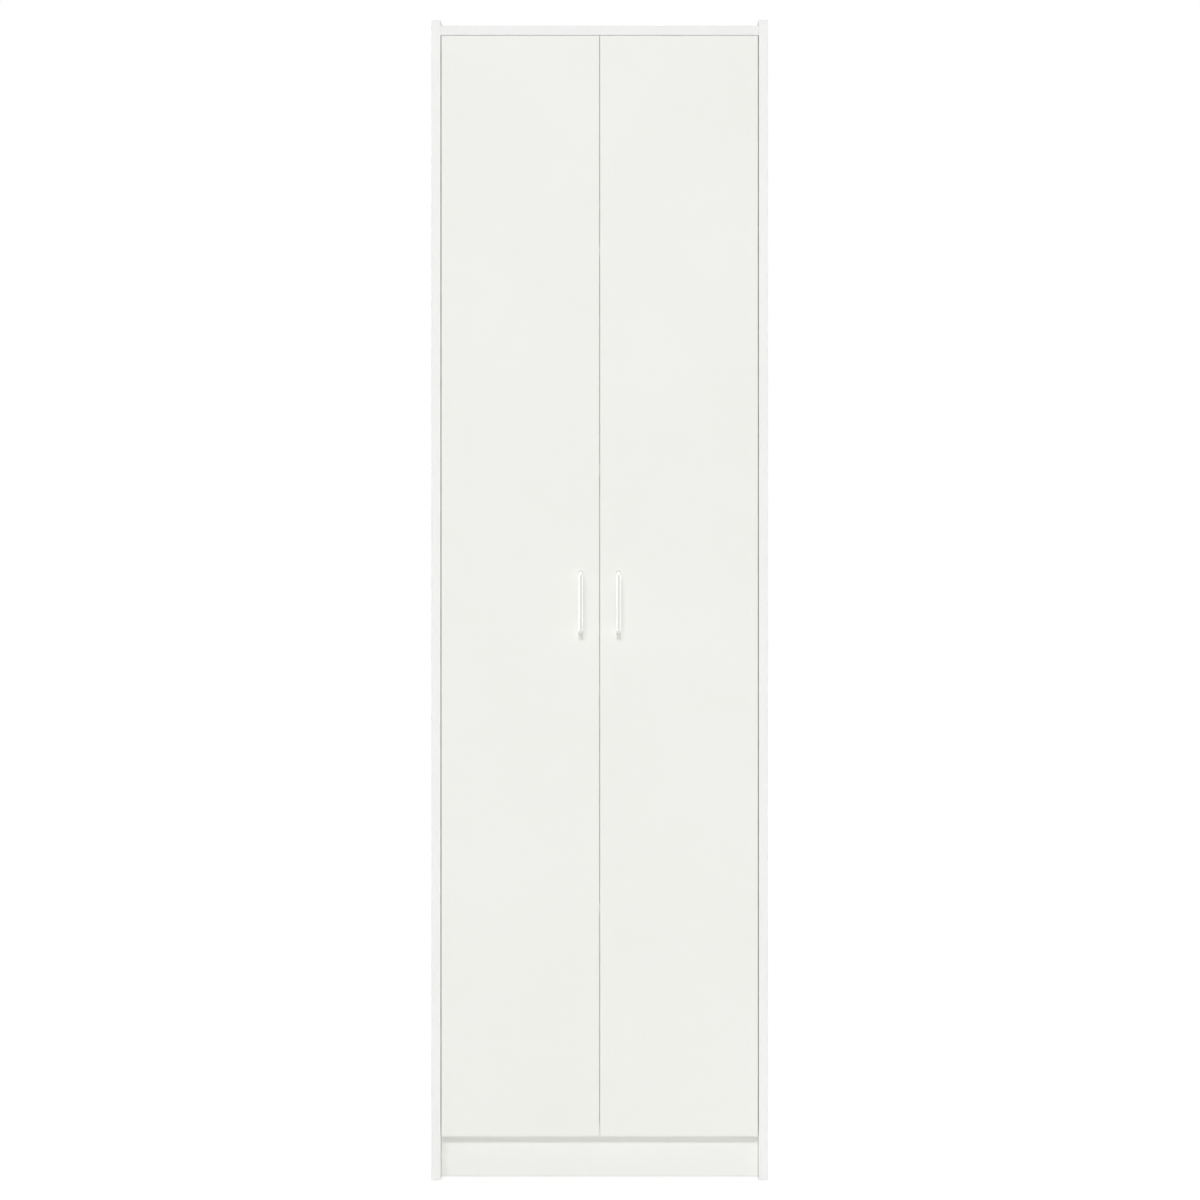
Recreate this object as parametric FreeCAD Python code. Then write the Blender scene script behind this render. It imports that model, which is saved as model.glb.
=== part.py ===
import FreeCAD, Part
import math
import os

# Two-door shelf wardrobe of white boards, in millimetres.
# Origin on the floor below the middle of the outline, +Z up, doors towards -Y.

# Carcass
width = 580.0
height = 2000.0
depth = 500.0
board = 16.0
side_rise = 10.0           # the sides stand this far above the top board
bottom_level = 82.0        # underside of the bottom board
plinth_setback = 35.0
shelf_count = 4
fixed_shelf_number = 2     # counted from the bottom, the others lie on pins
shelf_play = 0.8           # at each end of a loose shelf
shelf_back_play = 2.0
arris = 0.4                # softened edges of boards and doors

# Glides, thin nail-on discs under the sides
glide_height = 1.5
glide_radius = 7.0
glide_edge = 0.5
glide_setback = 40.0
glide_nail_length = 13.0
glide_nail_radius = 1.0

# Back
back_thickness = 3.0
rebate_width = 8.0
rebate_depth = 4.2
back_edge_play = 0.5
back_top_drop = 1.0        # the back ends below the upper face of the top board
joint_level = 1036.0       # the two back panels meet here
joint_gap = 1.6
strip_web = 1.2            # plastic strip between the panels
strip_wall = 0.8
strip_lap = 7.0
strip_play = 0.1
strip_end_play = 1.0
nail_radius = 0.8
nail_length = 17.0
nail_head_radius = 1.75
nail_head_height = 0.7
nails_per_side = 12
nails_per_board = 5
nail_step = 110.0          # along the boards
nail_margins = (28.0, 14.0)  # of the side rows, from the bottom board and from the top board

# Doors
door_gap = 1.1             # between each door and its side
middle_gap = 0.6           # between the doors
door_bottom = 76.0
door_top_gap = 0.6
shelf_setback = 18.0       # boards behind the doors start this far back
buffer_radius = 4.0
buffer_height = 1.6
buffer_offset = 40.0       # from the middle of the wardrobe

# Bow handles
handle_level = 996.0
handle_offset = 32.5       # from the middle of the wardrobe
handle_width = 8.0
handle_reach = 28.0
grip_thickness = 7.0
leg_thickness = 14.0
handle_hole_spacing = 96.0
handle_edge = 2.9
outer_bend = 8.5
inner_bend = 4.0

# Screws: head height, head radius, shank length, shank radius
handle_screw = (2.4, 4.0, 26.0, 2.0)
cup_screw = (1.5, 3.6, 12.0, 1.75)
plate_screw = (1.6, 3.6, 13.5, 2.4)
bracket_screw = (2.0, 3.6, 12.0, 1.75)

# Joinery
dowel_radius = 4.0
dowel_length = 30.0
dowel_in_side = 11.0
dowel_setbacks = (110.0, 390.0)
plinth_dowel_levels = (25.0, 60.0)
cam_radius = 7.4
cam_height = 12.2
cam_room = 0.15            # round each cam in its pocket
cam_distance = 34.0
cam_setbacks = (60.0, 440.0)
cam_slot_past = 1.2        # the slot for the bolt runs past the middle of the cam
drive_half_length = 4.0    # cross recess of the cams
drive_half_width = 0.7
drive_depth = 2.0
cap_thickness = 1.2        # covers over the cams of the fixed shelf
cap_overlap = 1.6
cap_edge = 0.6
bolt_radius = 2.5
bolt_neck_radius = 3.2
bolt_in_side = 11.0
neck_room = 0.4            # round each bolt in its cam
neck_ease = 10.0           # its hole in the board is this much wider than a tight one
pin_radius = 2.45
pin_head_radius = 3.0
pin_reach = 9.0
pin_hole_depth = 10.0
pin_end_room = 0.5
pin_setbacks = (60.0, 440.0)
pin_row_step = 32.0
slack = 0.05               # radial room of fasteners in their holes
fit = 0.02                 # of pieces that are pressed or lie on each other
over = 1.0                 # cuts reach this far past a face

# Concealed hinges: plan places are (inwards from the side, back from the front)
hinge_levels = (177.0, 690.0, 1358.0, 1871.0)
cup_radius = 17.5
cup_depth = 11.6
cup_room = 0.2             # below each cup in its hole
cup_edge = 5.0             # door left between its edge and the cup
cup_wall = 1.2
cup_floor = 1.0
cup_mouth_half = 8.0
cup_pin = (12.0, 10.5)
cup_pin_half = 10.0
rim_width = 1.5
rim_height = 1.2
rim_start = 13.0           # no rim on the side where the link comes out
ear_radius = 6.5
ear_offset = 6.0           # the cup screws sit further in than the middle of the cup
screw_spacing = 48.0       # of the two cup screws
screw_hole_radius = 2.1
link_length = 24.0
link_angle = 30.0          # from the cup pin to the arm pin, doors shut
link_elbow = (19.1, 7.0)
link_half_width = 4.5
link_half_thickness = 1.25
link_fit = 0.06
cup_knuckle_radius = 2.8
arm_knuckle_radius = 3.2
cup_pin_radius = 1.5
arm_pin_radius = 2.0
cheek_inside = 6.75
cheek_outside = 8.25
cheek_play = 0.35
arm_nose = 4.2
arm_low = 5.0
arm_high = 17.0
arm_metal = 1.4
arm_rear = 100.0
arm_low_bends = (27.0, 49.0)
arm_high_bends = (33.0, 52.0)
web_steps = (1.0, 0.6)     # inner line of the web at those two bends
# Setback, radius, head radius and head height of the two screws of an arm
arm_screws = ((84.0, 2.5, 4.2, 2.2), (66.0, 2.0, 3.2, 1.4))
arm_screw_length = 13.0
arm_screw_room = 0.3
screw_slot_half = 0.5
screw_slot_depth = 0.8
plate_thickness = 2.5
plate_front = 52.0
wing_rear = 66.0
wing_half = 24.0
rail_front = 56.0
rail_rear = 98.0
rail_height = 15.0
plate_screw_setback = 59.0
plate_screw_half = 16.0
plate_hole_radius = 2.6

# Wall brackets
bracket_offset = 200.0
bracket_half_width = 10.0
bracket_foot = 30.0
bracket_drop = 36.0
bracket_metal = 2.0
bracket_hole_radius = 2.75
bracket_hole_drop = 22.0   # of the wall holes below the top board
bracket_screw_setback = 18.0
bracket_screw_hole = 2.0

# Derived places
vector = FreeCAD.Vector
front = handle_reach - (depth + handle_reach) / 2
rear = front + depth
back_face = rear - rebate_depth
inner = width / 2 - board
top_level = height - side_rise - board
first_middle = bottom_level + board / 2
shelf_pitch = (top_level + board / 2 - first_middle) / (shelf_count + 1)
shelf_levels = [first_middle + shelf_pitch * (i + 1) - board / 2 for i in range(shelf_count)]
fixed_level = shelf_levels[fixed_shelf_number - 1]
loose_levels = [level for level in shelf_levels if level != fixed_level]
door_top = top_level - door_top_gap
door_width = inner - door_gap - middle_gap / 2
cup_middle = door_gap + cup_edge + cup_radius
arm_pin = (cup_pin[0] + link_length * math.cos(math.radians(link_angle)),
           cup_pin[1] + link_length * math.sin(math.radians(link_angle)))
along_x = vector(1, 0, 0)
along_y = vector(0, 1, 0)
along_z = vector(0, 0, 1)


def box(x0, x1, y0, y1, z0, z1):
    return Part.makeBox(x1 - x0, y1 - y0, z1 - z0, vector(x0, y0, z0))


def rod(start, direction, length, radius):
    return Part.makeCylinder(radius, length, start, direction)


def softened(shape, radius):
    return shape.makeFillet(radius, shape.Edges)


def mirrored(shape):
    return shape.mirror(vector(0, 0, 0), along_x)


def on_both_sides(shapes):
    return shapes + [mirrored(shape) for shape in shapes]


def fused(shapes):
    return shapes[0].fuse(shapes[1:]).removeSplitter()


def cut_by(shape, tools):
    return shape.cut(Part.makeCompound(tools))


def screw(base, outwards, sizes, room=0.0):
    # Head on the outer side of the base, shank on the other.
    head_height, head_radius, length, radius = sizes
    head = rod(base, outwards, head_height, head_radius)
    shank = rod(base, -outwards, length + room, radius + room)
    return fused([head, shank])


def plan_point(place, z):
    return vector(-inner + place[0], front + place[1], z)


def plan_slab(places, z0, z1):
    # A prism over a closed plan outline beside the left side.
    points = [plan_point(place, z0) for place in places]
    face = Part.Face(Part.makePolygon(points + points[:1]))
    return face.extrude(vector(0, 0, z1 - z0))


def plan_box(corners, z0, z1):
    # A block between two opposite plan corners.
    near, far = corners
    return box(-inner + near[0], -inner + far[0], front + near[1], front + far[1], z0, z1)


def plan_rod(place, radius, z0, z1):
    return rod(plan_point(place, z0), along_z, z1 - z0, radius)


def plan_strip(start, end, half, z0, z1):
    # A straight bar of the given half thickness between two plan places.
    run = (end[0] - start[0], end[1] - start[1])
    length = math.hypot(run[0], run[1])
    side = (-run[1] / length * half, run[0] / length * half)
    corners = [(start[0] + side[0], start[1] + side[1]), (start[0] - side[0], start[1] - side[1]),
               (end[0] - side[0], end[1] - side[1]), (end[0] + side[0], end[1] + side[1])]
    return plan_slab(corners, z0, z1)


# Joinery. Each function takes extra room to make the hole for its own piece.

def board_levels():
    return (top_level, bottom_level, fixed_level)


def dowels_left(room=0.0):
    radius = dowel_radius + room
    start_x = -inner - dowel_in_side - room
    length = dowel_length + 2 * room
    made = []
    for level in board_levels():
        for setback in dowel_setbacks:
            made.append(rod(vector(start_x, front + setback, level + board / 2), along_x, length, radius))
    for z in plinth_dowel_levels:
        made.append(rod(vector(start_x, front + plinth_setback + board / 2, z), along_x, length, radius))
    upright = vector(-inner / 2, front + plinth_setback + board / 2, bottom_level + dowel_in_side + room)
    made.append(rod(upright, -along_z, length, radius))
    return made


def cam_places_left():
    # Middle of each cam at mid-height of its board, and whether it opens upwards.
    places = []
    for level in board_levels():
        for setback in cam_setbacks:
            middle = vector(-inner + cam_distance, front + setback, level + board / 2)
            places.append((middle, level == top_level))
    return places


def cam_bolts_left(room=0.0):
    made = []
    for place, _ in cam_places_left():
        thread_start = vector(-inner - bolt_in_side - room, place.y, place.z)
        thread = rod(thread_start, along_x, bolt_in_side + room, bolt_radius + room)
        neck_radius = bolt_neck_radius + neck_ease * room
        neck = rod(vector(-inner, place.y, place.z), along_x, cam_distance, neck_radius)
        made.append(fused([thread, neck]))
    return made


def cam_solid(place, upwards, room=0.0):
    mouth = place.z + board / 2 if upwards else place.z - board / 2
    away = along_z if upwards else -along_z
    return rod(vector(place.x, place.y, mouth), -away, cam_height + room, cam_radius + room)


def cam_locks_left():
    made = []
    long, thin = drive_half_length, drive_half_width
    for place, upwards in cam_places_left():
        slot_start = vector(place.x - cam_radius - over, place.y, place.z)
        slot = rod(slot_start, along_x, cam_radius + over + cam_slot_past, bolt_neck_radius + neck_room)
        mouth = place.z + board / 2 if upwards else place.z - board / 2
        low, high = mouth - drive_depth, mouth + drive_depth
        drives = [box(place.x - half_x, place.x + half_x, place.y - half_y, place.y + half_y, low, high)
                  for half_x, half_y in ((long, thin), (thin, long))]
        made.append(cut_by(cam_solid(place, upwards), [slot] + drives))
    return made


def cam_pockets_left():
    return [cam_solid(place, upwards, cam_room) for place, upwards in cam_places_left()]


def cam_caps_left():
    made = []
    for setback in cam_setbacks:
        base = vector(-inner + cam_distance, front + setback, fixed_level - cap_thickness)
        disc = rod(base, along_z, cap_thickness, cam_radius + cap_overlap)
        made.append(disc.makeChamfer(cap_edge, [disc.Edges[2]]))
    return made


def pin_places_left(rows):
    places = []
    for level in loose_levels:
        for setback in pin_setbacks:
            for row in rows:
                places.append(vector(-inner, front + setback, level - pin_head_radius + row * pin_row_step))
    return places


def shelf_pins_left():
    made = []
    for place in pin_places_left((0,)):
        shank = rod(place, -along_x, pin_hole_depth - pin_end_room, pin_radius)
        head = rod(place, along_x, pin_reach, pin_head_radius - fit)
        made.append(fused([shank, head]))
    return made


def pin_holes_left():
    places = pin_places_left((-1, 0, 1))
    return [rod(place, -along_x, pin_hole_depth, pin_radius + slack) for place in places]


def glides_left(room=0.0):
    made = []
    for setback in (glide_setback, depth - glide_setback):
        base = vector(-width / 2 + board / 2, front + setback, 0)
        disc = rod(base, along_z, glide_height, glide_radius)
        foot = disc.makeChamfer(glide_edge, [disc.Edges[2]])
        nail_start = base + vector(0, 0, glide_edge)
        nail = rod(nail_start, along_z, glide_nail_length + room, glide_nail_radius + room)
        made.append(fused([foot, nail]))
    return made


def nail_places():
    first = bottom_level + nail_margins[0]
    last = top_level - nail_margins[1]
    step = (last - first) / (nails_per_side - 1)
    places = []
    for i in range(nails_per_side):
        places.append((-inner - rebate_width / 2, first + i * step))
        places.append((inner + rebate_width / 2, first + i * step))
    for level in board_levels():
        for i in range(nails_per_board):
            x = (i - (nails_per_board - 1) / 2) * nail_step
            places.append((x, level + board / 2))
    return places


def back_nails():
    outside = back_face + back_thickness
    made = []
    for x, z in nail_places():
        shank = rod(vector(x, outside, z), -along_y, nail_length, nail_radius)
        head = rod(vector(x, outside, z), along_y, nail_head_height, nail_head_radius)
        made.append(fused([shank, head]))
    return made


def nail_holes():
    start = back_face + back_thickness + over
    length = nail_length + over + slack
    return [rod(vector(x, start, z), -along_y, length, nail_radius + slack) for x, z in nail_places()]


# Boards

def left_side():
    shape = softened(box(-width / 2, -inner, front, rear, glide_height, height), arris)
    rebate = box(-inner - rebate_width, -inner + over, back_face, rear + over, 0, height + over)
    holes = dowels_left(slack) + cam_bolts_left(slack) + pin_holes_left() + plate_screws_left(slack)
    holes += glides_left(slack)
    return cut_by(shape, [rebate] + holes)


def plain_board(level, setback, end_play, back_play):
    half = inner - end_play
    shape = box(-half, half, front + setback, back_face - back_play, level, level + board)
    return softened(shape, arris)


def joined_board(level, setback):
    holes = on_both_sides(dowels_left(slack) + cam_bolts_left(slack) + cam_pockets_left())
    return cut_by(plain_board(level, setback, 0.0, 0.0), holes)


def plinth():
    start = front + plinth_setback
    shape = softened(box(-inner, inner, start, start + board, glide_height, bottom_level), arris)
    return cut_by(shape, on_both_sides(dowels_left(slack)))


# Back

def back_panel(z0, z1):
    edge = inner + rebate_width - back_edge_play
    shape = box(-edge, edge, back_face, back_face + back_thickness, z0, z1)
    return cut_by(shape, nail_holes() + wall_holes())


def back_joint_strip():
    half = inner - strip_end_play
    outside_face = back_face + back_thickness
    reach = strip_play + strip_wall
    low, high = joint_level - strip_lap, joint_level + strip_lap
    web = box(-half, half, back_face - reach, outside_face + reach, joint_level - strip_web / 2,
              joint_level + strip_web / 2)
    inside = box(-half, half, back_face - reach, back_face - strip_play, low, high)
    outside = box(-half, half, outside_face + strip_play, outside_face + reach, low, high)
    return fused([web, inside, outside])


def wall_holes():
    made = []
    length = back_thickness + bracket_metal + 2 * over
    for x in (-bracket_offset, bracket_offset):
        start = vector(x, back_face - bracket_metal - over, top_level - bracket_hole_drop)
        made.append(rod(start, along_y, length, bracket_hole_radius))
    return made


def wall_brackets():
    made = []
    for x in (-bracket_offset, bracket_offset):
        left, right = x - bracket_half_width, x + bracket_half_width
        flat = box(left, right, back_face - bracket_foot, back_face, top_level - bracket_metal, top_level)
        upright = box(left, right, back_face - bracket_metal, back_face, top_level - bracket_drop, top_level)
        start = vector(x, back_face - bracket_screw_setback, top_level - bracket_metal - over)
        screw_hole = rod(start, along_z, bracket_metal + 2 * over, bracket_screw_hole)
        made.append(cut_by(fused([flat, upright]), wall_holes() + [screw_hole]))
    return made


def wall_bracket_screws(room=0.0):
    made = []
    for x in (-bracket_offset, bracket_offset):
        base = vector(x, back_face - bracket_screw_setback, top_level - bracket_metal)
        made.append(screw(base, -along_z, bracket_screw, room))
    return made


def door_buffers():
    made = []
    for level in (bottom_level, fixed_level):
        for x in (-buffer_offset, buffer_offset):
            base = vector(x, front + shelf_setback, level + board / 2)
            made.append(rod(base, -along_y, buffer_height, buffer_radius))
    return made


# Doors and handles, built on the left

def left_handle():
    # Side view of the bow: two straight legs on the door, joined by a straight grip with rounded bends.
    x = -handle_offset - handle_width / 2

    def place(reach, z):
        return vector(x, front - reach, handle_level + z)

    def bend(radius, reach, z, way):
        # Quarter circle from the leg to the grip, whose straight lines would meet at this reach and height.
        ease = radius * (1 - math.sqrt(0.5))
        return Part.Arc(place(reach - radius, way * z), place(reach - ease, way * (z - ease)),
                        place(reach, way * (z - radius))).toShape()

    inside = handle_reach - grip_thickness
    leg_in = (handle_hole_spacing - leg_thickness) / 2
    leg_out = (handle_hole_spacing + leg_thickness) / 2
    outline = []
    for way in (1, -1):
        outline.append(Part.makeLine(place(0, way * leg_in), place(0, way * leg_out)))
        for leg, reach, radius in ((leg_out, handle_reach, outer_bend), (leg_in, inside, inner_bend)):
            outline.append(Part.makeLine(place(0, way * leg), place(reach - radius, way * leg)))
            outline.append(bend(radius, reach, leg, way))
    for reach, end in ((handle_reach, leg_out - outer_bend), (inside, leg_in - inner_bend)):
        outline.append(Part.makeLine(place(reach, end), place(reach, -end)))
    wire = Part.Wire(Part.__sortEdges__(outline))
    solid = Part.Face(wire).extrude(vector(handle_width, 0, 0))
    long_edges = [edge for edge in solid.Edges
                  if edge.BoundBox.XLength < fit and edge.BoundBox.YMin < front - fit]
    solid = solid.makeFillet(handle_edge, long_edges)
    return cut_by(solid, left_handle_screws(slack))


def left_handle_screws(room=0.0):
    half = handle_hole_spacing / 2
    bases = [vector(-handle_offset, front + board, handle_level + way * half) for way in (1, -1)]
    return [screw(base, along_y, handle_screw, room) for base in bases]


def left_door():
    x0 = -inner + door_gap
    shape = softened(box(x0, x0 + door_width, front, front + board, door_bottom, door_top), arris)
    holes = left_handle_screws(slack) + cup_screws_left(slack)
    for level in hinge_levels:
        mouth = plan_point((cup_middle, board + over), level)
        holes.append(rod(mouth, -along_y, cup_depth + over + cup_room, cup_radius + slack))
    return cut_by(shape, holes)


# Hinges, built on the left

def cup_screw_places(level, back):
    half = screw_spacing / 2
    return [plan_point((cup_middle + ear_offset, back), level + way * half) for way in (1, -1)]


def hinge_cup(level):
    body = rod(plan_point((cup_middle, board - cup_depth), level), along_y, cup_depth, cup_radius)
    rim_radius = cup_radius + rim_width
    rim = rod(plan_point((cup_middle, board), level), along_y, rim_height, rim_radius)
    open_side = ((0, board - over), (rim_start, board + rim_height + over))
    rim = rim.cut(plan_box(open_side, level - rim_radius, level + rim_radius))
    ears = [rod(place, along_y, rim_height, ear_radius) for place in cup_screw_places(level, board)]
    ear_middle = cup_middle + ear_offset
    wing_corners = ((ear_middle - ear_radius, board), (ear_middle + ear_radius, board + rim_height))
    wings = plan_box(wing_corners, level - screw_spacing / 2, level + screw_spacing / 2)
    shape = fused([body, rim, wings] + ears)
    hollow_depth = cup_depth - cup_floor + rim_height + over
    bottom = plan_point((cup_middle, board - cup_depth + cup_floor), level)
    hollow = rod(bottom, along_y, hollow_depth, cup_radius - cup_wall)
    mouth = plan_box(((0, 0), (2 * cup_middle, 2 * board)), level - cup_mouth_half, level + cup_mouth_half)
    pin_hole = plan_rod(cup_pin, cup_pin_radius + fit, level - cup_pin_half, level + cup_pin_half)
    holes = [hollow.common(mouth), pin_hole]
    for place in cup_screw_places(level, board - over):
        holes.append(rod(place, along_y, rim_height + 2 * over, screw_hole_radius))
    return cut_by(shape, holes)


def cup_pins_left():
    half = cup_pin_half
    return [plan_rod(cup_pin, cup_pin_radius, level - half, level + half) for level in hinge_levels]


def cup_screws_left(room=0.0):
    places = [place for level in hinge_levels for place in cup_screw_places(level, board + rim_height)]
    return [screw(place, along_y, cup_screw, room) for place in places]


def hinge_link(level):
    low = level - link_half_width
    high = level + link_half_width
    thin = link_half_thickness
    knuckle_half = cheek_inside - cheek_play
    ends = ((cup_pin, link_elbow), (link_elbow, arm_pin))
    strips = [plan_strip(start, end, thin, low, high) for start, end in ends]
    elbow = plan_rod(link_elbow, thin, low, high)
    cup_knuckle = plan_rod(cup_pin, cup_knuckle_radius, low, high)
    arm_knuckle = plan_rod(arm_pin, arm_knuckle_radius, level - knuckle_half, level + knuckle_half)
    shape = fused(strips + [elbow, cup_knuckle, arm_knuckle])
    bores = [plan_rod(place, radius + link_fit, level - cheek_outside, level + cheek_outside)
             for place, radius in ((cup_pin, cup_pin_radius), (arm_pin, arm_pin_radius))]
    return cut_by(shape, bores)


def hinge_arm(level):
    # Two cheeks on edge, closed along the outside by a bent web.
    nose_low = arm_pin[0] - arm_nose
    nose_high = arm_pin[0] + arm_nose
    outer_line = [(arm_high, arm_rear), (arm_high, arm_high_bends[1]), (nose_high, arm_high_bends[0])]
    cheek_outline = [(nose_low, arm_pin[1]), (nose_low, arm_low_bends[0]), (arm_low, arm_low_bends[1]),
                     (arm_low, arm_rear)] + outer_line + [(nose_high, arm_pin[1])]
    web_inside = arm_high - arm_metal
    inner_line = [(nose_high - web_steps[0], arm_high_bends[0] - web_steps[0]),
                  (web_inside, arm_high_bends[1] - web_steps[1]), (web_inside, arm_rear)]
    pieces = [plan_slab(outer_line + inner_line, level - cheek_outside, level + cheek_outside)]
    for z0, z1 in ((-cheek_outside, -cheek_inside), (cheek_inside, cheek_outside)):
        pieces.append(plan_slab(cheek_outline, level + z0, level + z1))
        pieces.append(plan_rod(arm_pin, arm_nose, level + z0, level + z1))
    pin_half = cheek_outside + over
    holes = [plan_rod(arm_pin, arm_pin_radius + fit, level - pin_half, level + pin_half)]
    for setback, radius, _, _ in arm_screws:
        start = plan_point((web_inside - over, setback), level)
        holes.append(rod(start, along_x, arm_metal + 2 * over, radius + arm_screw_room))
    return cut_by(fused(pieces), holes)


def arm_pins_left():
    half = cheek_outside
    return [plan_rod(arm_pin, arm_pin_radius, level - half, level + half) for level in hinge_levels]


def arm_screws_left():
    # One screw clamps the arm to its plate and the smaller one sets the door sideways.
    made = []
    for level in hinge_levels:
        for setback, radius, head_radius, head in arm_screws:
            sizes = (head, head_radius, arm_screw_length, radius)
            slot_corners = ((arm_high + head - screw_slot_depth, setback - screw_slot_half),
                            (arm_high + head + over, setback + screw_slot_half))
            slot_half = head_radius + over
            slot = plan_box(slot_corners, level - slot_half, level + slot_half)
            made.append(screw(plan_point((arm_high, setback), level), along_x, sizes).cut(slot))
    return made


def hinge_plates_left():
    made = []
    rail_half = cheek_inside - cheek_play
    rail_outline = [(0, plate_front), (plate_thickness, plate_front), (rail_height, rail_front),
                    (rail_height, rail_rear), (0, rail_rear)]
    for level in hinge_levels:
        wing_corners = ((0, plate_front), (plate_thickness, wing_rear))
        wing = plan_box(wing_corners, level - wing_half, level + wing_half)
        rail = plan_slab(rail_outline, level - rail_half, level + rail_half)
        holes = []
        for setback, radius, _, _ in arm_screws:
            start = plan_point((-over, setback), level)
            holes.append(rod(start, along_x, rail_height + 2 * over, radius + slack))
        for way in (1, -1):
            start = plan_point((-over, plate_screw_setback), level + way * plate_screw_half)
            holes.append(rod(start, along_x, plate_thickness + 2 * over, plate_hole_radius))
        made.append(cut_by(fused([wing, rail]), holes))
    return made


def plate_screws_left(room=0.0):
    places = [plan_point((plate_thickness, plate_screw_setback), level + way * plate_screw_half)
              for level in hinge_levels for way in (1, -1)]
    return [screw(place, along_x, plate_screw, room) for place in places]


def build():
    drilled_left = cut_by(left_side(), nail_holes())
    pieces = {
        "left_side": drilled_left,
        "right_side": mirrored(drilled_left),
        "top_board": cut_by(joined_board(top_level, 0.0), nail_holes() + wall_bracket_screws(slack)),
        "bottom_board": cut_by(joined_board(bottom_level, shelf_setback), nail_holes()),
        "fixed_shelf": cut_by(joined_board(fixed_level, shelf_setback), nail_holes()),
        "plinth": plinth(),
        "back_panel_lower": back_panel(bottom_level, joint_level - joint_gap / 2),
        "back_panel_upper": back_panel(joint_level + joint_gap / 2, height - side_rise - back_top_drop),
        "back_joint_strip": back_joint_strip(),
    }
    for name, level in zip(("lower_shelf", "middle_shelf", "upper_shelf"), loose_levels):
        pieces[name] = plain_board(level, shelf_setback, shelf_play, shelf_back_play)
    groups = {
        "dowels": on_both_sides(dowels_left()),
        "cam_bolts": on_both_sides(cam_bolts_left()),
        "cam_locks": on_both_sides(cam_locks_left()),
        "cam_caps": on_both_sides(cam_caps_left()),
        "shelf_pins": on_both_sides(shelf_pins_left()),
        "glides": on_both_sides(glides_left()),
        "back_nails": back_nails(),
        "wall_brackets": wall_brackets(),
        "wall_bracket_screws": wall_bracket_screws(),
        "door_buffers": door_buffers(),
        "hinge_plates": on_both_sides(hinge_plates_left()),
        "hinge_plate_screws": on_both_sides(plate_screws_left()),
        "hinge_arm_screws": on_both_sides(arm_screws_left()),
        "hinge_arm_pins": on_both_sides(arm_pins_left()),
    }
    left_pieces = {
        "door": left_door(),
        "handle": left_handle(),
        "handle_screws": Part.makeCompound(left_handle_screws()),
        "hinge_cup_pins": Part.makeCompound(cup_pins_left()),
        "hinge_cup_screws": Part.makeCompound(cup_screws_left()),
    }
    for number, level in enumerate(hinge_levels, 1):
        left_pieces["hinge_cup_%d" % number] = hinge_cup(level)
        left_pieces["hinge_link_%d" % number] = hinge_link(level)
        left_pieces["hinge_arm_%d" % number] = hinge_arm(level)
    for name, shapes in groups.items():
        pieces[name] = Part.makeCompound(shapes)
    for name, shape in left_pieces.items():
        pieces["left_" + name] = shape
        pieces["right_" + name] = mirrored(shape)
    return pieces


os.makedirs("parts", exist_ok=True)
for node, shape in build().items():
    shape.exportStep("parts/%s.step" % node)
    print(node, len(shape.Solids), "solids", round(shape.Volume / 1000), "cm3", shape.isValid())
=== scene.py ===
import math
import bmesh
import bpy
from mathutils import Matrix, Vector


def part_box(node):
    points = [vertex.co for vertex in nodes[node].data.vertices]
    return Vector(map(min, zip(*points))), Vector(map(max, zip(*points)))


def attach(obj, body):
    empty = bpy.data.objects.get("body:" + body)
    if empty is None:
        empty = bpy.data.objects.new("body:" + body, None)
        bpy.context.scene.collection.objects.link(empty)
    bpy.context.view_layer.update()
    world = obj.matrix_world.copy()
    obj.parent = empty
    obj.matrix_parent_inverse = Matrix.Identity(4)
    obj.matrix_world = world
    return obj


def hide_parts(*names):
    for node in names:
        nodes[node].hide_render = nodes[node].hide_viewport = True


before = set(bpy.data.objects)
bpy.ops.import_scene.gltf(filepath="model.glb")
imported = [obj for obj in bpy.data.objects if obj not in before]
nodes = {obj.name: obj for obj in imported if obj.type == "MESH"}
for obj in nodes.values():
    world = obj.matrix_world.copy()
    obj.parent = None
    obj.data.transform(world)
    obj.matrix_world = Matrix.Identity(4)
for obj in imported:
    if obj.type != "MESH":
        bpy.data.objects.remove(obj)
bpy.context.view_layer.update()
scene = bpy.context.scene
scene.view_settings.view_transform = "Standard"
print("frame loaded:", len(nodes), "nodes")


# small helpers for node trees

def addNode(tree, kind, sockets=None, **settings):
    made = tree.nodes.new(kind)
    for key, value in settings.items():
        setattr(made, key, value)
    for key, value in (sockets or {}).items():
        if isinstance(value, bpy.types.NodeSocket):
            tree.links.new(value, made.inputs[key])
        else:
            made.inputs[key].default_value = value
    return made


def addMath(tree, operation, first, second=0.0):
    return addNode(tree, "ShaderNodeMath", {0: first, 1: second}, operation=operation).outputs[0]


def addVector(tree, operation, first, second=(0, 0, 0)):
    return addNode(tree, "ShaderNodeVectorMath", {0: first, 1: second}, operation=operation).outputs[0]


def addMix(tree, factor, first, second):
    made = addNode(tree, "ShaderNodeMix", {0: factor, 6: first, 7: second}, data_type="RGBA")
    return made.outputs[2]


def addRange(tree, value, low, high, start, end):
    made = addNode(tree, "ShaderNodeMapRange", {0: value, 1: low, 2: high, 3: start, 4: end})
    return made.outputs[0]


def addNoise(tree, vector, scale, detail=2.0, roughness=0.5):
    made = addNode(tree, "ShaderNodeTexNoise",
                   {"Vector": vector, "Scale": scale, "Detail": detail, "Roughness": roughness})
    return made.outputs[0]


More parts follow.
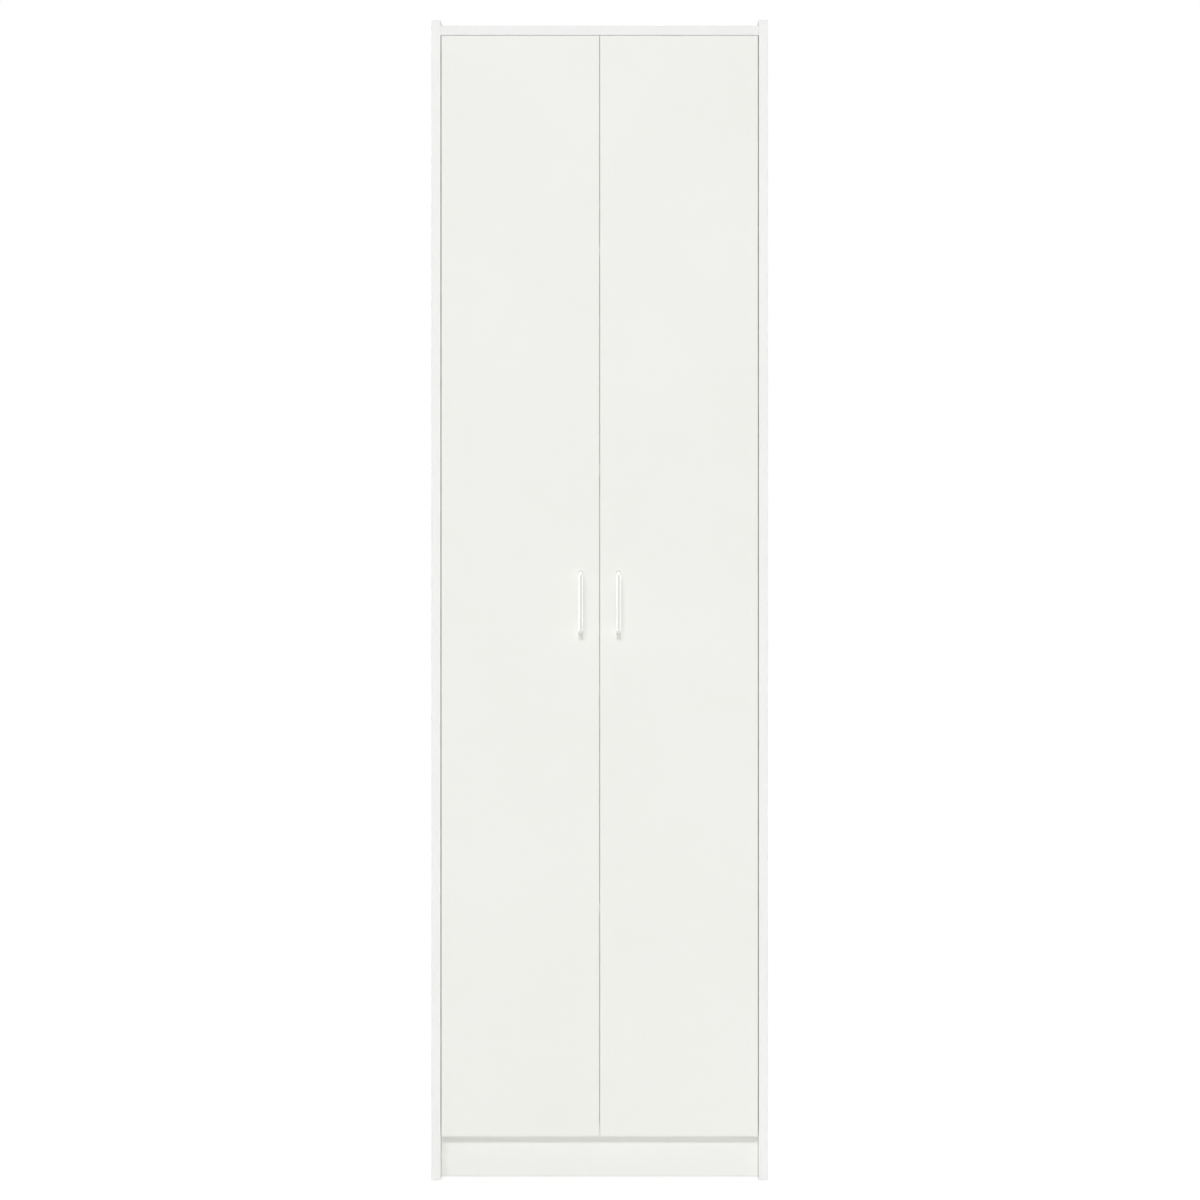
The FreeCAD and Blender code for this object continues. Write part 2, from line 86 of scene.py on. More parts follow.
def newGroup(name, inputs, outputs):
    group = bpy.data.node_groups.new(name, "ShaderNodeTree")
    for label, kind, value in inputs:
        group.interface.new_socket(label, in_out="INPUT", socket_type=kind).default_value = value
    for label, kind in outputs:
        group.interface.new_socket(label, in_out="OUTPUT", socket_type=kind)
    return group, group.nodes.new("NodeGroupInput").outputs, group.nodes.new("NodeGroupOutput").inputs


def useGroup(tree, group, sockets):
    return addNode(tree, "ShaderNodeGroup", sockets, node_tree=group).outputs


def objectPlace(tree):
    return addNode(tree, "ShaderNodeTexCoord").outputs["Object"]


# shared effects

grainLook = {"finer": 2.7, "fineShare": 0.35, "sheenFiner": 6.0, "spread": (0.3, 0.7)}


def makePearlGrain():
    # the fine pearl structure of pressed melamine, with a slow drift in tone
    look = grainLook
    group, given, out = newGroup(
        "pearlGrain",
        [("Pearl Scale", "NodeSocketFloat", 900.0), ("Drift Scale", "NodeSocketFloat", 4.0)],
        [("Height", "NodeSocketFloat"), ("Drift", "NodeSocketFloat"), ("Sheen", "NodeSocketFloat")])
    place = objectPlace(group)
    fineScale = addMath(group, "MULTIPLY", given["Pearl Scale"], look["finer"])
    sheenScale = addMath(group, "MULTIPLY", given["Drift Scale"], look["sheenFiner"])
    pearl = addNoise(group, place, given["Pearl Scale"], detail=1.0)
    fine = addNoise(group, place, fineScale, detail=0.0)
    drift = addNoise(group, place, given["Drift Scale"], detail=3.0, roughness=0.55)
    sheen = addNoise(group, place, sheenScale, detail=4.0, roughness=0.6)
    height = addMath(group, "ADD", pearl, addMath(group, "MULTIPLY", fine, look["fineShare"]))
    group.links.new(height, out["Height"])
    group.links.new(addRange(group, drift, *look["spread"], 0.0, 1.0), out["Drift"])
    group.links.new(addRange(group, sheen, *look["spread"], 0.0, 1.0), out["Sheen"])
    return group


edgeLook = {"patchScale": 35.0, "patchEnds": (0.42, 0.68), "jointEnds": (0.00008, 0.00018)}


def makeBoardEdges():
    # distance to the edges of a straight board: handling wear along them and the joint of the edge band
    look = edgeLook
    group, given, out = newGroup(
        "boardEdges",
        [("Middle", "NodeSocketVector", (0, 0, 0)), ("Half", "NodeSocketVector", (1, 1, 1)),
         ("Banded", "NodeSocketVector", (0, 1, 0)), ("Band", "NodeSocketFloat", 0.0009),
         ("Reach", "NodeSocketFloat", 0.004)],
        [("Wear", "NodeSocketFloat"), ("Joint", "NodeSocketFloat")])
    place = objectPlace(group)
    away = addVector(group, "ABSOLUTE", addVector(group, "SUBTRACT", place, given["Middle"]))
    depth = addVector(group, "SUBTRACT", given["Half"], away)
    x, y, z = addNode(group, "ShaderNodeSeparateXYZ", {0: depth}).outputs[:3]
    low = addMath(group, "MINIMUM", x, y)
    high = addMath(group, "MAXIMUM", x, y)
    toEdge = addMath(group, "MINIMUM", high, addMath(group, "MAXIMUM", low, z))
    patches = addNoise(group, place, look["patchScale"], detail=4.0, roughness=0.65)
    nearness = addNode(group, "ShaderNodeMapRange",
                       {0: toEdge, 1: 0.0, 2: given["Reach"], 3: 1.0, 4: 0.0},
                       interpolation_type="SMOOTHSTEP").outputs[0]
    wear = addMath(group, "MULTIPLY", nearness, addRange(group, patches, *look["patchEnds"], 0.0, 1.0))
    group.links.new(wear, out["Wear"])
    flags = addNode(group, "ShaderNodeSeparateXYZ", {0: given["Banded"]}).outputs[:3]
    lines = []
    for axis, flag in zip((x, y, z), flags):
        gap = addMath(group, "ABSOLUTE", addMath(group, "SUBTRACT", axis, given["Band"]))
        lines.append(addMath(group, "MULTIPLY", addRange(group, gap, *look["jointEnds"], 1.0, 0.0), flag))
    joint = addMath(group, "MAXIMUM", addMath(group, "MAXIMUM", lines[0], lines[1]), lines[2])
    group.links.new(joint, out["Joint"])
    return group


scratchLook = {"patchCoarser": 0.04, "spread": (0.3, 0.7)}


def makeFineScratches():
    # hairline polish marks, long in one direction
    look = scratchLook
    group, given, out = newGroup(
        "fineScratches",
        [("Stretch", "NodeSocketVector", (1, 1, 0.03)), ("Scale", "NodeSocketFloat", 4000.0)],
        [("Height", "NodeSocketFloat"), ("Patches", "NodeSocketFloat")])
    place = objectPlace(group)
    drawn = addVector(group, "MULTIPLY", place, given["Stretch"])
    patchScale = addMath(group, "MULTIPLY", given["Scale"], look["patchCoarser"])
    marks = addNoise(group, drawn, given["Scale"], detail=3.0, roughness=0.6)
    patches = addNoise(group, place, patchScale, detail=3.0, roughness=0.6)
    group.links.new(marks, out["Height"])
    group.links.new(addRange(group, patches, *look["spread"], 0.0, 1.0), out["Patches"])
    return group


pearlGrain = makePearlGrain()
boardEdges = makeBoardEdges()
fineScratches = makeFineScratches()
print("shared effects made:", len(bpy.data.node_groups))


def newMaterial(name):
    made = bpy.data.materials.new(name)
    made.use_nodes = True
    tree = made.node_tree
    return made, tree, tree.nodes["Principled BSDF"].inputs


def usePearl(tree, look):
    scales = {"Pearl Scale": look["pearlScale"], "Drift Scale": look["driftScale"]}
    return useGroup(tree, pearlGrain, scales)


def wire(tree, value, socket):
    tree.links.new(value, socket)


def addBump(tree, height, distance, strength=1.0):
    return addNode(tree, "ShaderNodeBump",
                   {"Height": height, "Distance": distance, "Strength": strength}).outputs[0]


def dress(material, *names):
    for name in names:
        nodes[name].material_slots[0].material = material


# boards: white melamine with banded edges

boardLook = {
    "light": (0.905, 0.905, 0.895, 1),
    "deep": (0.885, 0.885, 0.872, 1),
    "worn": (0.78, 0.775, 0.75, 1),
    "joint": (0.62, 0.61, 0.58, 1),
    "roughness": (0.54, 0.64),
    "specular": 0.45,
    "pearlScale": 850.0,
    "pearlDepth": 0.00002,
    "driftScale": 3.5,
    "wearShows": 0.5,
    "wearDulls": 0.12,
    "jointShows": 0.7,
    "jointSinks": 1.5,
}
doorLook = dict(boardLook, light=(0.882, 0.888, 0.848, 1), deep=(0.866, 0.872, 0.830, 1))
topLook = dict(boardLook, light=(0.885, 0.885, 0.880, 1), deep=(0.868, 0.868, 0.860, 1))
# the plinth colour is set lighter to make up for the shade that falls in its recess under the doors: painted
# light
plinthShadeLiftLook = dict(boardLook, light=(0.883, 0.881, 0.857, 1), deep=(0.868, 0.866, 0.840, 1))


def makeBoard(name, look, banded):
    low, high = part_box(name)
    made, tree, shader = newMaterial(name + "Melamine")
    grain = usePearl(tree, look)
    edges = useGroup(tree, boardEdges,
                     {"Middle": (low + high) / 2, "Half": (high - low) / 2, "Banded": banded})
    face = addMix(tree, grain["Drift"], look["deep"], look["light"])
    wear = addMath(tree, "MULTIPLY", edges["Wear"], look["wearShows"])
    joint = addMath(tree, "MULTIPLY", edges["Joint"], look["jointShows"])
    worn = addMix(tree, wear, face, look["worn"])
    jointed = addMix(tree, joint, worn, look["joint"])
    wire(tree, jointed, shader["Base Color"])
    sheen = addRange(tree, grain["Sheen"], 0.0, 1.0, *look["roughness"])
    rubbed = addMath(tree, "MULTIPLY", edges["Wear"], look["wearDulls"])
    wire(tree, addMath(tree, "ADD", sheen, rubbed), shader["Roughness"])
    sunk = addMath(tree, "MULTIPLY", edges["Joint"], look["jointSinks"])
    relief = addMath(tree, "SUBTRACT", grain["Height"], sunk)
    wire(tree, addBump(tree, relief, look["pearlDepth"]), shader["Normal"])
    shader["Specular IOR Level"].default_value = look["specular"]
    dress(made, name)


# the last value says which faces have banded edges, along X, Y and Z
for name in ("left_side", "right_side"):
    makeBoard(name, boardLook, (0, 1, 1))
makeBoard("top_board", topLook, (0, 1, 0))
for name in ("bottom_board", "fixed_shelf", "lower_shelf", "middle_shelf", "upper_shelf"):
    makeBoard(name, boardLook, (0, 1, 0))
# the plinth gets the lightened colour that makes up for the shade of its recess (painted light)
makeBoard("plinth", plinthShadeLiftLook, (0, 0, 1))
for name in ("left_door", "right_door"):
    makeBoard(name, doorLook, (1, 0, 1))
print("boards and doors finished")


# back: thin hardboard, painted inside and bare behind

backLook = {
    "painted": (0.80, 0.80, 0.785, 1),
    "paintedDeep": (0.775, 0.775, 0.758, 1),
    "paintEnds": (0.0004, 0.0007),     # behind the inner face
    "pearlScale": 420.0,
    "driftScale": 5.0,
    "fibre": (0.30, 0.185, 0.095, 1),
    "fibreDark": (0.17, 0.095, 0.045, 1),
    "fibreScale": 700.0,
    "fibreEnds": (0.38, 0.62),
    "cloud": (0.215, 0.125, 0.062, 1),
    "cloudScale": 11.0,
    "cloudEnds": (0.35, 0.68),
    "cloudShows": 0.8,
    "screenPitch": 0.0018,             # print of the press screen on the bare face
    "screenRise": 0.8,
    "roughness": (0.55, 0.82),
    "depth": 0.00006,
}


def makeHardboard():
    look = backLook
    made, tree, shader = newMaterial("hardboard")
    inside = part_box("back_panel_lower")[0].y
    place = objectPlace(tree)
    x, across, z = addNode(tree, "ShaderNodeSeparateXYZ", {0: place}).outputs[:3]
    bare = addRange(tree, across, *[inside + depth for depth in look["paintEnds"]], 0.0, 1.0)
    grain = usePearl(tree, look)
    fibres = addNoise(tree, place, look["fibreScale"], detail=5.0, roughness=0.75)
    flecks = addRange(tree, fibres, *look["fibreEnds"], 0.0, 1.0)
    turns = math.tau / look["screenPitch"]
    waves = [addMath(tree, "SINE", addMath(tree, "MULTIPLY", axis, turns)) for axis in (x, z)]
    screen = addMath(tree, "MULTIPLY", waves[0], waves[1])
    clouds = addNoise(tree, place, look["cloudScale"], detail=6.0, roughness=0.62)
    cloudy = addRange(tree, clouds, *look["cloudEnds"], 0.0, look["cloudShows"])
    brown = addMix(tree, flecks, look["fibreDark"], look["fibre"])
    brown = addMix(tree, cloudy, brown, look["cloud"])
    paint = addMix(tree, grain["Drift"], look["paintedDeep"], look["painted"])
    wire(tree, addMix(tree, bare, paint, brown), shader["Base Color"])
    wire(tree, addRange(tree, bare, 0.0, 1.0, *look["roughness"]), shader["Roughness"])
    rough = addMath(tree, "ADD", flecks, addMath(tree, "MULTIPLY", screen, look["screenRise"]))
    relief = addMath(tree, "ADD", grain["Height"], addMath(tree, "MULTIPLY", rough, bare))
    wire(tree, addBump(tree, relief, look["depth"]), shader["Normal"])
    dress(made, "back_panel_lower", "back_panel_upper")


makeHardboard()
print("back finished")


# metals

metalLooks = {
    "hingeNickel": {"bright": (0.72, 0.70, 0.66, 1), "dull": (0.69, 0.67, 0.63, 1), "roughness": (0.22, 0.29),
                    "stretch": (1, 0.25, 1), "scale": 2600.0, "depth": 0.000006},
    "zincSteel": {"bright": (0.66, 0.67, 0.68, 1), "dull": (0.52, 0.52, 0.50, 1), "roughness": (0.28, 0.46),
                  "stretch": (1, 1, 1), "scale": 1800.0, "depth": 0.00001},
    "castZinc": {"bright": (0.55, 0.55, 0.56, 1), "dull": (0.44, 0.44, 0.45, 1), "roughness": (0.42, 0.58),
                 "stretch": (1, 1, 1), "scale": 1200.0, "depth": 0.00003},
    "handleMetal": {"bright": (0.765, 0.765, 0.76, 1), "dull": (0.735, 0.735, 0.728, 1),
                    "roughness": (0.13, 0.18), "stretch": (1, 1, 0.02), "scale": 5000.0, "depth": 0.000004},
}


def makeMetal(name, *wearers):
    look = metalLooks[name]
    made, tree, shader = newMaterial(name)
    marks = useGroup(tree, fineScratches, {"Stretch": look["stretch"], "Scale": look["scale"]})
    wire(tree, addMix(tree, marks["Patches"], look["dull"], look["bright"]), shader["Base Color"])
    smooth, dull = look["roughness"]
    wire(tree, addRange(tree, marks["Patches"], 0.0, 1.0, dull, smooth), shader["Roughness"])
    wire(tree, addBump(tree, marks["Height"], look["depth"]), shader["Normal"])
    shader["Metallic"].default_value = 1.0
    dress(made, *wearers)


sides = ("left", "right")
hingeNumbers = (1, 2, 3, 4)
hingeParts = ["%s_hinge_%s_%d" % (side, part, number) for side in sides
              for part in ("arm", "link", "cup") for number in hingeNumbers]
doorScrews = ["%s_%s" % (side, part) for side in sides
              for part in ("handle_screws", "hinge_cup_pins", "hinge_cup_screws")]
makeMetal("hingeNickel", "hinge_plates", *hingeParts)
makeMetal("zincSteel", "cam_bolts", "shelf_pins", "back_nails", "wall_brackets", "wall_bracket_screws",
          "hinge_plate_screws", "hinge_arm_screws", "hinge_arm_pins", *doorScrews)
makeMetal("castZinc", "cam_locks")
makeMetal("handleMetal", "left_handle", "right_handle")
print("metals finished")


# plastics, soft dots and dowels

plasticLooks = {
    "whitePlastic": {"light": (0.87, 0.87, 0.86, 1), "deep": (0.84, 0.84, 0.825, 1), "roughness": (0.40, 0.52),
                     "pearlScale": 2400.0, "driftScale": 60.0, "depth": 0.000008,
                     "wearers": ("cam_caps", "back_joint_strip")},
    "glidePlastic": {"light": (0.78, 0.78, 0.76, 1), "deep": (0.70, 0.70, 0.67, 1), "roughness": (0.48, 0.62),
                     "pearlScale": 2400.0, "driftScale": 60.0, "depth": 0.000008,
                     "wearers": ("glides",)},
}
dotLook = {"tint": (0.93, 0.94, 0.94, 1), "deep": (0.88, 0.89, 0.89, 1), "roughness": (0.16, 0.30),
           "pearlScale": 1500.0, "driftScale": 90.0, "clear": 0.2, "bends": 1.45}
dowelLook = {"light": (0.66, 0.46, 0.28, 1), "dark": (0.50, 0.32, 0.17, 1), "roughness": (0.55, 0.72),
             "stretch": (0.06, 1.0, 1.0), "scale": 2200.0, "rayEnds": (0.35, 0.65), "depth": 0.00004}


def makePlastic(name):
    look = plasticLooks[name]
    made, tree, shader = newMaterial(name)
    grain = usePearl(tree, look)
    wire(tree, addMix(tree, grain["Drift"], look["deep"], look["light"]), shader["Base Color"])
    wire(tree, addRange(tree, grain["Sheen"], 0.0, 1.0, *look["roughness"]), shader["Roughness"])
    wire(tree, addBump(tree, grain["Height"], look["depth"]), shader["Normal"])
    dress(made, *look["wearers"])


def makeDots():
    look = dotLook
    made, tree, shader = newMaterial("clearDots")
    grain = usePearl(tree, look)
    wire(tree, addMix(tree, grain["Drift"], look["deep"], look["tint"]), shader["Base Color"])
    wire(tree, addRange(tree, grain["Sheen"], 0.0, 1.0, *look["roughness"]), shader["Roughness"])
    shader["Transmission Weight"].default_value = look["clear"]
    shader["IOR"].default_value = look["bends"]
    dress(made, "door_buffers")


def makeDowelWood():
    look = dowelLook
    made, tree, shader = newMaterial("beechDowel")
    long = addVector(tree, "MULTIPLY", objectPlace(tree), look["stretch"])
    rays = addNoise(tree, long, look["scale"], detail=4.0, roughness=0.6)
    grain = addRange(tree, rays, *look["rayEnds"], 0.0, 1.0)
    wire(tree, addMix(tree, grain, look["dark"], look["light"]), shader["Base Color"])
    smooth, dull = look["roughness"]
    wire(tree, addRange(tree, grain, 0.0, 1.0, dull, smooth), shader["Roughness"])
    wire(tree, addBump(tree, rays, look["depth"]), shader["Normal"])
    dress(made, "dowels")


for name in plasticLooks:
    makePlastic(name)
makeDots()
makeDowelWood()
print("plastics and dowels finished")


# small turned pieces: cross-head screws, shelf pins and soft dots

screwLooks = {
    "plateScrews": {"head": 0.0036, "rise": 0.0016, "shank": 0.0024, "length": 0.0135, "apart": 0.032},
    "cupScrews": {"head": 0.0036, "rise": 0.0015, "shank": 0.00175, "length": 0.0120, "apart": 0.048},
    "handleScrews": {"head": 0.0040, "rise": 0.0024, "shank": 0.0020, "length": 0.0260},
    "bracketScrews": {"head": 0.0036, "rise": 0.0020, "shank": 0.00175, "length": 0.0120},
}
crossLook = {                  # shares of the radius and the rise of a screw head
    "reach": 0.55,
    "halfWidth": 0.13,
    "taper": 0.55,
    "sinks": 0.75,
    "mouth": 0.97,
    "dome": ((0.72, 0.93), (0.90, 0.70), (1.0, 0.34), (1.0, 0.0)),
    "pointStarts": 0.9,
    "steps": 16,
}
pinLook = {"head": 0.00298, "reach": 0.0090, "shank": 0.00245, "length": 0.0095, "round": 0.0006,
           "drop": 0.0030, "steps": 24}      # the drop is from a shelf to the middle of its pins
dotShape = {"radius": 0.0040, "rise": 0.0016, "wall": 0.2, "slope": (0, 15, 30, 45, 60, 75), "steps": 28}
sharpAngle = 38
tiny = 1e-7                    # metres, below which points are one


def turnProfile(shape, points, steps):
    # spins a line of (radius, height) points round the Z axis
    line = [shape.verts.new((radius, 0.0, height)) for radius, height in points]
    edges = [shape.edges.new(pair) for pair in zip(line, line[1:])]
    bmesh.ops.spin(shape, geom=line + edges, cent=(0, 0, 0), axis=(0, 0, 1), angle=math.tau, steps=steps,
                   use_merge=True)
    bmesh.ops.remove_doubles(shape, verts=shape.verts[:], dist=tiny)


def storeShape(shape, name):
    bmesh.ops.recalc_face_normals(shape, faces=shape.faces[:])
    for face in shape.faces:
        face.smooth = True
    mesh = bpy.data.meshes.new(name)
    shape.to_mesh(mesh)
    shape.free()
    mesh.set_sharp_from_angle(angle=math.radians(sharpAngle))
    return mesh


def makeScrewShape(kind):
    head, rise, shank, length = [screwLooks[kind][key] for key in ("head", "rise", "shank", "length")]
    look = crossLook
    shape = bmesh.new()
    bmesh.ops.create_grid(shape, x_segments=3, y_segments=3, size=look["reach"] * head)
    middles = [(face, face.calc_center_median()) for face in shape.faces]
    corners = [face for face, middle in middles if min(abs(middle.x), abs(middle.y)) > tiny]
    bmesh.ops.delete(shape, geom=corners, context="FACES")
    for vert in shape.verts:   # narrow the arms of the cross
        for axis in (0, 1):
            if abs(vert.co[axis]) < look["reach"] * head / 2:
                vert.co[axis] = math.copysign(look["halfWidth"] * head, vert.co[axis])
        vert.co.z = look["mouth"] * rise
    rim = [edge for edge in shape.edges if edge.is_boundary]
    cross = shape.faces[:]
    sunk = bmesh.ops.extrude_face_region(shape, geom=cross)["geom"]
    bmesh.ops.delete(shape, geom=cross, context="FACES")
    bottom = [item for item in sunk if isinstance(item, bmesh.types.BMVert)]
    bmesh.ops.scale(shape, vec=(look["taper"], look["taper"], 1.0), verts=bottom)
    bmesh.ops.translate(shape, vec=(0, 0, -look["sinks"] * rise), verts=bottom)
    dome = [(out * head, up * rise) for out, up in look["dome"]]
    point = [(shank, 0.0), (shank, -look["pointStarts"] * length), (0.0, -length)]
    turnProfile(shape, dome + point, look["steps"])
    ring = [edge for edge in shape.edges if edge.is_boundary and edge not in rim]
    bmesh.ops.bridge_loops(shape, edges=rim + ring)
    return storeShape(shape, kind + "Shape")


def makePinShape():
    keys = ("head", "reach", "shank", "length", "round")
    head, reach, shank, length, soft = [pinLook[key] for key in keys]
    ease = soft * (1 - math.sqrt(0.5))
    tip = [(0.0, reach), (head - soft, reach), (head - ease, reach - ease),
           (head, reach - soft), (head, 0.0)]
    tail = [(shank, 0.0), (shank, soft - length), (shank - soft, -length), (0.0, -length)]
    shape = bmesh.new()
    turnProfile(shape, tip + tail, pinLook["steps"])
    return storeShape(shape, "pinShape")


def makeDotShape():
    radius, rise, wall = [dotShape[key] for key in ("radius", "rise", "wall")]
    turns = [math.radians(angle) for angle in dotShape["slope"]]
    slope = [(radius * math.cos(turn), rise * (wall + (1 - wall) * math.sin(turn))) for turn in turns]
    shape = bmesh.new()
    turnProfile(shape, [(0.0, 0.0), (radius, 0.0)] + slope + [(0.0, rise)], dotShape["steps"])
    return storeShape(shape, "dotShape")


def placeCopies(name, mesh, places, body, node):
    shape = bmesh.new()
    for place, towards in places:
        start = len(shape.verts)
        shape.from_mesh(mesh)
        turn = Vector(towards).to_track_quat("Z", "Y").to_matrix().to_4x4()
        bmesh.ops.transform(shape, matrix=Matrix.Translation(place) @ turn, verts=shape.verts[start:])
    joined = bpy.data.meshes.new(name)
    shape.to_mesh(joined)
    shape.free()
    joined.materials.append(nodes[node].material_slots[0].material)
    piece = bpy.data.objects.new(name, joined)
    scene.collection.objects.link(piece)
    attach(piece, body)
    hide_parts(node)
    print(name, len(places), "pieces", len(joined.polygons), "faces")


def hingeLevels():
    boxes = [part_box("left_hinge_cup_%d" % number) for number in hingeNumbers]
    return [(low.z + high.z) / 2 for low, high in boxes]


def addDoorScrews(side):
    body = side + "_door_leaf"
    low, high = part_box(side + "_hinge_cup_screws")
    look = screwLooks["cupScrews"]
    middle, base, half = (low.x + high.x) / 2, high.y - look["rise"], look["apart"] / 2
    places = [((middle, base, level + way * half), (0, 1, 0)) for level in hingeLevels()
              for way in (1, -1)]
    shape = makeScrewShape("cupScrews")
    placeCopies(side + "CupScrews", shape, places, body, side + "_hinge_cup_screws")
    low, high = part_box(side + "_handle_screws")
    look = screwLooks["handleScrews"]
    middle, base, inset = (low.x + high.x) / 2, high.y - look["rise"], look["head"]
    places = [((middle, base, z), (0, 1, 0)) for z in (low.z + inset, high.z - inset)]
    shape = makeScrewShape("handleScrews")
    placeCopies(side + "HandleScrews", shape, places, body, side + "_handle_screws")


def addPlateScrews():
    low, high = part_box("hinge_plate_screws")
    look = screwLooks["plateScrews"]
    length, middle, half = look["length"], (low.y + high.y) / 2, look["apart"] / 2
    ends = ((low.x + length, 1), (high.x - length, -1))
    places = [((x, middle, level + way * half), (towards, 0, 0)) for level in hingeLevels()
              for way in (1, -1) for x, towards in ends]
    shape = makeScrewShape("plateScrews")
    placeCopies("plateScrews", shape, places, "carcass", "hinge_plate_screws")


def addBracketScrews():
    low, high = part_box("wall_bracket_screws")
    look = screwLooks["bracketScrews"]
    inset, middle, base = look["head"], (low.y + high.y) / 2, low.z + look["rise"]
    places = [((x, middle, base), (0, 0, -1)) for x in (low.x + inset, high.x - inset)]
    shape = makeScrewShape("bracketScrews")
    placeCopies("bracketScrews", shape, places, "carcass", "wall_bracket_screws")


def addPins():
    low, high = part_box("shelf_pins")
    length, head, drop = pinLook["length"], pinLook["head"], pinLook["drop"]
    levels = [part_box(shelf)[0].z for shelf in ("lower_shelf", "middle_shelf", "upper_shelf")]
    ends = ((low.x + length, 1), (high.x - length, -1))
    rows = (low.y + head, high.y - head)
    places = [((x, y, level - drop), (towards, 0, 0)) for level in levels for y in rows for x, towards in ends]
    placeCopies("shelfPins", makePinShape(), places, "carcass", "shelf_pins")


def addDots():
    low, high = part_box("door_buffers")
    radius = dotShape["radius"]
    places = [((x, high.y, z), (0, -1, 0)) for x in (low.x + radius, high.x - radius)
              for z in (low.z + radius, high.z - radius)]
    placeCopies("softDots", makeDotShape(), places, "carcass", "door_buffers")


for side in sides:
    addDoorScrews(side)
addPlateScrews()
addBracketScrews()
addPins()
addDots()
print("small pieces placed")


# studio: floor, light and camera

doorPlane = -0.236
studio = {
    "ambient": 0.27,
    "lamps": {                 # strength, degrees to the left, degrees up, spread, seen in gloss
        "frontLight": (0.84, 0.0, 4.0, 1.5, False),
        "highLight": (0.60, 0.5, 25.0, 2.5, False),
        "keyLight": (0.34, 14.0, 25.0, 5.0, True),
        "backFill": (0.9, -140.0, 38.0, 60.0, True),
        "sideFill": (0.6, 140.0, 38.0, 60.0, True),
    },
    "softBoxes": {             # place, width and height, power
        "leftStrip": ((-3.2, -1.6, 1.0), (0.5, 2.2), 7.0),
        "rightStrip": ((3.2, -1.6, 1.0), (0.5, 2.2), 4.5),
        "leftPanel": ((-2.9, -1.04, 1.0), (1.8, 3.0), 23.0),
        "rightPanel": ((2.9, -1.04, 1.0), (1.8, 3.0), 12.5),
        "topPanel": ((0.0, -1.4, 3.9), (3.0, 3.0), 28.0),
    },
    "aim": (0.0, doorPlane, 1.0),
    "sunDistance": 6.0,
    "floorSize": 60.0,
    "floorWhite": 0.92,
    "floorShade": 0.3,         # how far the floor shows shadows to the camera
    "floorGlow": 0.81,         # makes the lit floor white to the camera
    "cameraDistance": 5.5,
    "cameraHeight": 1.0006,
    "cameraSide": 0.0006,
    "frameWidth": 2.0677,      # metres across the picture at the doors
    "sensorWidth": 36.0,
    "seesTo": 200.0,
}


def seenDirectly(tree):
    path = addNode(tree, "ShaderNodeLightPath").outputs
    either = addMath(tree, "MAXIMUM", path["Is Camera Ray"], path["Is Glossy Ray"])
    return addMath(tree, "MAXIMUM", either, path["Is Transmission Ray"])


def makeWorld():
    world = bpy.data.worlds.new("whiteStudio")
    world.use_nodes = True
    tree = world.node_tree
    tree.nodes.clear()
    soft = addNode(tree, "ShaderNodeBackground", {0: (1, 1, 1, 1), 1: studio["ambient"]}).outputs[0]
    white = addNode(tree, "ShaderNodeBackground", {0: (1, 1, 1, 1), 1: 1.0}).outputs[0]
    both = addNode(tree, "ShaderNodeMixShader", {0: seenDirectly(tree), 1: soft, 2: white}).outputs[0]
    addNode(tree, "ShaderNodeOutputWorld", {0: both})
    scene.world = world


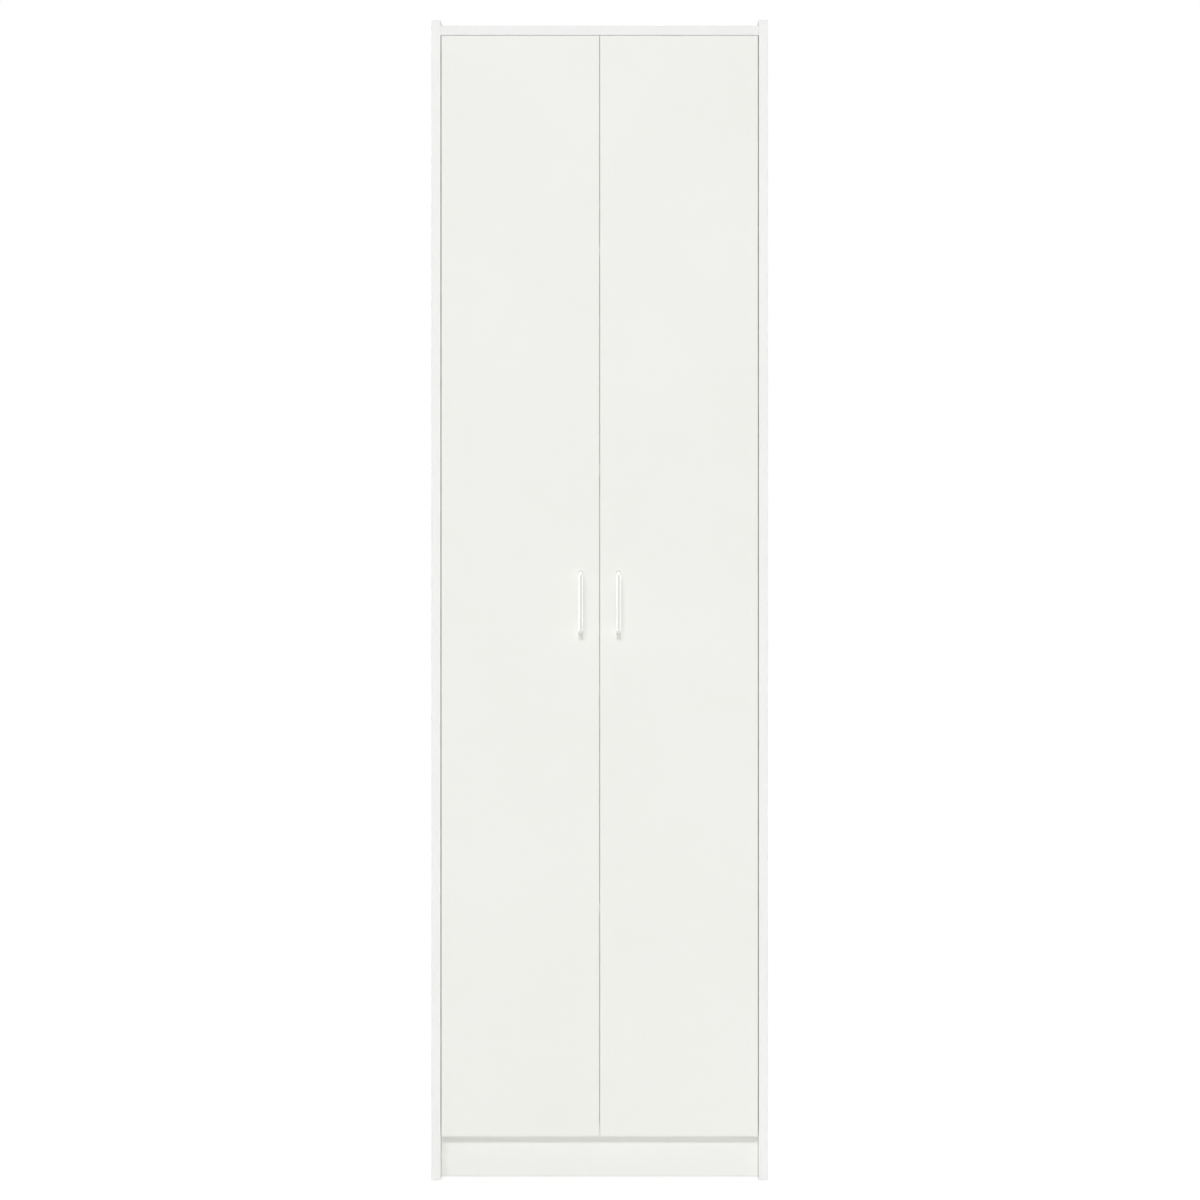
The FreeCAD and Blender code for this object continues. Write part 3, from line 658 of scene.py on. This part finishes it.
def makeFloor():
    mesh = bpy.data.meshes.new("floor")
    shape = bmesh.new()
    bmesh.ops.create_grid(shape, x_segments=2, y_segments=2, size=studio["floorSize"] / 2)
    shape.to_mesh(mesh)
    shape.free()
    floor = bpy.data.objects.new("floor", mesh)
    scene.collection.objects.link(floor)
    made = bpy.data.materials.new("paleFloor")
    made.use_nodes = True
    tree = made.node_tree
    tree.nodes.clear()
    white, shade = studio["floorWhite"], studio["floorShade"]
    plain = addNode(tree, "ShaderNodeBsdfDiffuse", {0: (white, white, white, 1)}).outputs[0]
    faint = addNode(tree, "ShaderNodeBsdfDiffuse", {0: (shade, shade, shade, 1)}).outputs[0]
    glow = addNode(tree, "ShaderNodeEmission", {0: (1, 1, 1, 1), 1: studio["floorGlow"]}).outputs[0]
    seen = addNode(tree, "ShaderNodeAddShader", {0: faint, 1: glow}).outputs[0]
    both = addNode(tree, "ShaderNodeMixShader", {0: seenDirectly(tree), 1: plain, 2: seen}).outputs[0]
    addNode(tree, "ShaderNodeOutputMaterial", {0: both})
    mesh.materials.append(made)


def addSun(name):
    strength, side, height, spread, inGloss = studio["lamps"][name]
    lamp = bpy.data.lights.new(name, "SUN")
    lamp.energy = strength
    lamp.angle = math.radians(spread)
    sun = bpy.data.objects.new(name, lamp)
    across, up = math.radians(side), math.radians(height)
    towards = Vector((-math.sin(across) * math.cos(up), -math.cos(across) * math.cos(up), math.sin(up)))
    sun.rotation_mode = "QUATERNION"
    sun.rotation_quaternion = towards.to_track_quat("Z", "Y")
    sun.location = towards * studio["sunDistance"]
    sun.visible_glossy = inGloss
    scene.collection.objects.link(sun)


def addSoftBox(name):
    place, size, power = studio["softBoxes"][name]
    lamp = bpy.data.lights.new(name, "AREA")
    lamp.shape = "RECTANGLE"
    lamp.size, lamp.size_y = size
    lamp.energy = power
    box = bpy.data.objects.new(name, lamp)
    box.location = place
    box.rotation_mode = "QUATERNION"
    box.rotation_quaternion = (Vector(place) - Vector(studio["aim"])).to_track_quat("Z", "Y")
    box.visible_camera = False
    box.visible_diffuse = False     # only seen in gloss, on the metal and the satin boards
    scene.collection.objects.link(box)


def makeCamera():
    lens = bpy.data.cameras.new("frontCamera")
    lens.sensor_width = studio["sensorWidth"]
    lens.lens = lens.sensor_width * studio["cameraDistance"] / studio["frameWidth"]
    lens.clip_end = studio["seesTo"]
    camera = bpy.data.objects.new("frontCamera", lens)
    camera.location = (studio["cameraSide"], doorPlane - studio["cameraDistance"], studio["cameraHeight"])
    camera.rotation_euler = (math.radians(90), 0.0, 0.0)
    scene.collection.objects.link(camera)
    scene.camera = camera


makeWorld()
makeFloor()
for name in studio["lamps"]:
    addSun(name)
for name in studio["softBoxes"]:
    addSoftBox(name)
makeCamera()
print("studio set")
